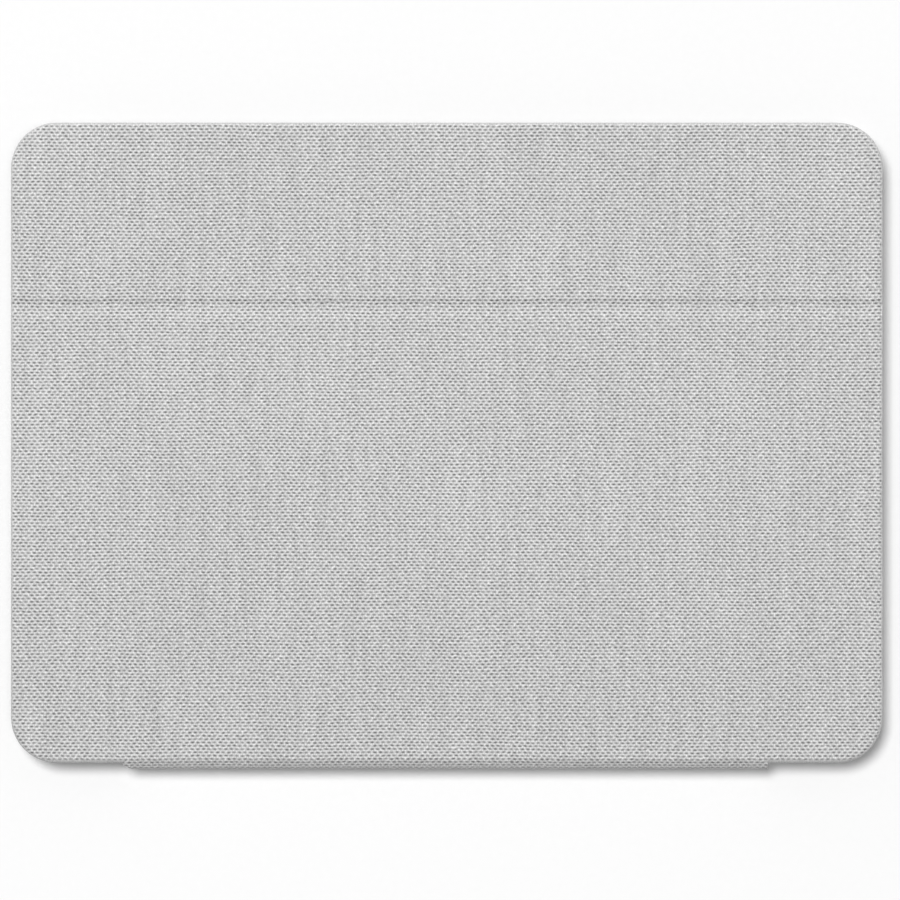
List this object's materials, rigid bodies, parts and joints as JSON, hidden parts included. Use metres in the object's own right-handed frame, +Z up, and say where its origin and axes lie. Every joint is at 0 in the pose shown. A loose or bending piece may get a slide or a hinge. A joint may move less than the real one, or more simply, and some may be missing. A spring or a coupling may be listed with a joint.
{
  "type": "tablet keyboard case",
  "caption": "Closed fabric folio case for a tablet, with a slim keyboard in the front cover, a flexible spine strip and a folding back cover that props the tablet up.",
  "frame": {"origin": "centre of the keyboard cover's outer face, which lies on the table when the case is closed", "axes": "+X along the spine, +Y from the spine to the free edge, +Z up through the closed case, from the keyboard cover to the back cover"},
  "size_m": [0.25, 0.1854, 0.015],
  "materials": {
    "woven_fabric": "woven",
    "lining_fabric": "brushed",
    "board": "matt",
    "module_plastic": "fine texture",
    "key_plastic": "satin",
    "magnet": "nickel plated",
    "grip_rubber": "matt",
    "dome_silicone": "matt",
    "link_plastic": "natural",
    "screw_steel": "plated",
    "plate_steel": "rolled",
    "film": "printed film",
    "battery_wrap": "foil",
    "board_green": "solder mask",
    "chip_black": "moulded",
    "socket_steel": "plated",
    "light_window": "translucent",
    "switch_plastic": "satin"
  },
  "bodies": {
    "keyboard_base": {"front_skin": "woven_fabric", "front_board": "board", "module_shell": "module_plastic", "module_cover": "module_plastic", "module_screws": "screw_steel", "deck_pad": "lining_fabric", "groove_grip": "grip_rubber", "groove_magnets": "magnet", "closure_magnets": "magnet", "status_light": "light_window", "screen_bumpers": "grip_rubber", "key_plate": "plate_steel", "switch_sheet": "film", "dome_sheet": "dome_silicone", "scissor_links": "link_plastic", "battery": "battery_wrap", "circuit_board": "board_green", "board_components": "chip_black", "charge_socket": "socket_steel", "ribbon_cable": "film"},
    "power_switch": {"power_switch": "switch_plastic"},
    "number_row_keys": {"number_row_keys": "key_plastic"},
    "backspace_key": {"backspace_key": "key_plastic"},
    "tab_key": {"tab_key": "key_plastic"},
    "top_letter_keys": {"top_letter_keys": "key_plastic"},
    "caps_key": {"caps_key": "key_plastic"},
    "home_letter_keys": {"home_letter_keys": "key_plastic"},
    "enter_key": {"enter_key": "key_plastic"},
    "left_shift_key": {"left_shift_key": "key_plastic"},
    "bottom_letter_keys": {"bottom_letter_keys": "key_plastic"},
    "right_shift_key": {"right_shift_key": "key_plastic"},
    "modifier_keys": {"modifier_keys": "key_plastic"},
    "space_bar": {"space_bar": "key_plastic"},
    "left_key": {"left_key": "key_plastic"},
    "up_key": {"up_key": "key_plastic"},
    "down_key": {"down_key": "key_plastic"},
    "right_key": {"right_key": "key_plastic"},
    "spine": {"spine_skin": "woven_fabric", "spine_stiffener": "board", "spine_lining": "lining_fabric"},
    "stand_panel": {"stand_skin": "woven_fabric", "stand_board": "board", "stand_magnets": "magnet", "stand_lining": "lining_fabric"},
    "holder_panel": {"holder_skin": "woven_fabric", "holder_board": "board", "holder_magnets": "magnet", "holder_lining": "lining_fabric", "holder_grip_pad": "grip_rubber"}
  },
  "joints": [
    {"name": "spine_base_hinge", "type": "hinge", "parent": "keyboard_base", "child": "spine", "pos_m": [0, -0.0932, 0.0004], "axis": [1, 0, 0], "range_deg": [0, 90]},
    {"name": "spine_back_hinge", "type": "hinge", "parent": "spine", "child": "stand_panel", "pos_m": [0, -0.0932, 0.0146], "axis": [1, 0, 0], "range_deg": [0, 90]},
    {"name": "stand_fold", "type": "hinge", "parent": "stand_panel", "child": "holder_panel", "pos_m": [0, 0.039, 0.0142], "axis": [1, 0, 0], "range_deg": [0, 60]},
    {"name": "power_switch_slide", "type": "slide", "parent": "keyboard_base", "child": "power_switch", "axis": [0, 1, 0], "range_m": [0, 0.003]},
    {"name": "number_row_keys_press", "type": "slide", "parent": "keyboard_base", "child": "number_row_keys", "axis": [0, 0, -1], "range_m": [0, 0.0012], "stiffness_N_per_m": 20, "deforming": ["dome_sheet", "scissor_links"]},
    {"name": "backspace_key_press", "type": "slide", "parent": "keyboard_base", "child": "backspace_key", "axis": [0, 0, -1], "range_m": [0, 0.0012], "stiffness_N_per_m": 20, "deforming": ["dome_sheet", "scissor_links"]},
    {"name": "tab_key_press", "type": "slide", "parent": "keyboard_base", "child": "tab_key", "axis": [0, 0, -1], "range_m": [0, 0.0012], "stiffness_N_per_m": 20, "deforming": ["dome_sheet", "scissor_links"]},
    {"name": "top_letter_keys_press", "type": "slide", "parent": "keyboard_base", "child": "top_letter_keys", "axis": [0, 0, -1], "range_m": [0, 0.0012], "stiffness_N_per_m": 20, "deforming": ["dome_sheet", "scissor_links"]},
    {"name": "caps_key_press", "type": "slide", "parent": "keyboard_base", "child": "caps_key", "axis": [0, 0, -1], "range_m": [0, 0.0012], "stiffness_N_per_m": 20, "deforming": ["dome_sheet", "scissor_links"]},
    {"name": "home_letter_keys_press", "type": "slide", "parent": "keyboard_base", "child": "home_letter_keys", "axis": [0, 0, -1], "range_m": [0, 0.0012], "stiffness_N_per_m": 20, "deforming": ["dome_sheet", "scissor_links"]},
    {"name": "enter_key_press", "type": "slide", "parent": "keyboard_base", "child": "enter_key", "axis": [0, 0, -1], "range_m": [0, 0.0012], "stiffness_N_per_m": 20, "deforming": ["dome_sheet", "scissor_links"]},
    {"name": "left_shift_key_press", "type": "slide", "parent": "keyboard_base", "child": "left_shift_key", "axis": [0, 0, -1], "range_m": [0, 0.0012], "stiffness_N_per_m": 20, "deforming": ["dome_sheet", "scissor_links"]},
    {"name": "bottom_letter_keys_press", "type": "slide", "parent": "keyboard_base", "child": "bottom_letter_keys", "axis": [0, 0, -1], "range_m": [0, 0.0012], "stiffness_N_per_m": 20, "deforming": ["dome_sheet", "scissor_links"]},
    {"name": "right_shift_key_press", "type": "slide", "parent": "keyboard_base", "child": "right_shift_key", "axis": [0, 0, -1], "range_m": [0, 0.0012], "stiffness_N_per_m": 20, "deforming": ["dome_sheet", "scissor_links"]},
    {"name": "modifier_keys_press", "type": "slide", "parent": "keyboard_base", "child": "modifier_keys", "axis": [0, 0, -1], "range_m": [0, 0.0012], "stiffness_N_per_m": 20, "deforming": ["dome_sheet", "scissor_links"]},
    {"name": "space_bar_press", "type": "slide", "parent": "keyboard_base", "child": "space_bar", "axis": [0, 0, -1], "range_m": [0, 0.0012], "stiffness_N_per_m": 20, "deforming": ["dome_sheet", "scissor_links"]},
    {"name": "left_key_press", "type": "slide", "parent": "keyboard_base", "child": "left_key", "axis": [0, 0, -1], "range_m": [0, 0.0012], "stiffness_N_per_m": 20, "deforming": ["dome_sheet", "scissor_links"]},
    {"name": "up_key_press", "type": "slide", "parent": "keyboard_base", "child": "up_key", "axis": [0, 0, -1], "range_m": [0, 0.0012], "stiffness_N_per_m": 20, "deforming": ["dome_sheet", "scissor_links"]},
    {"name": "down_key_press", "type": "slide", "parent": "keyboard_base", "child": "down_key", "axis": [0, 0, -1], "range_m": [0, 0.0012], "stiffness_N_per_m": 20, "deforming": ["dome_sheet", "scissor_links"]},
    {"name": "right_key_press", "type": "slide", "parent": "keyboard_base", "child": "right_key", "axis": [0, 0, -1], "range_m": [0, 0.0012], "stiffness_N_per_m": 20, "deforming": ["dome_sheet", "scissor_links"]}
  ]
}
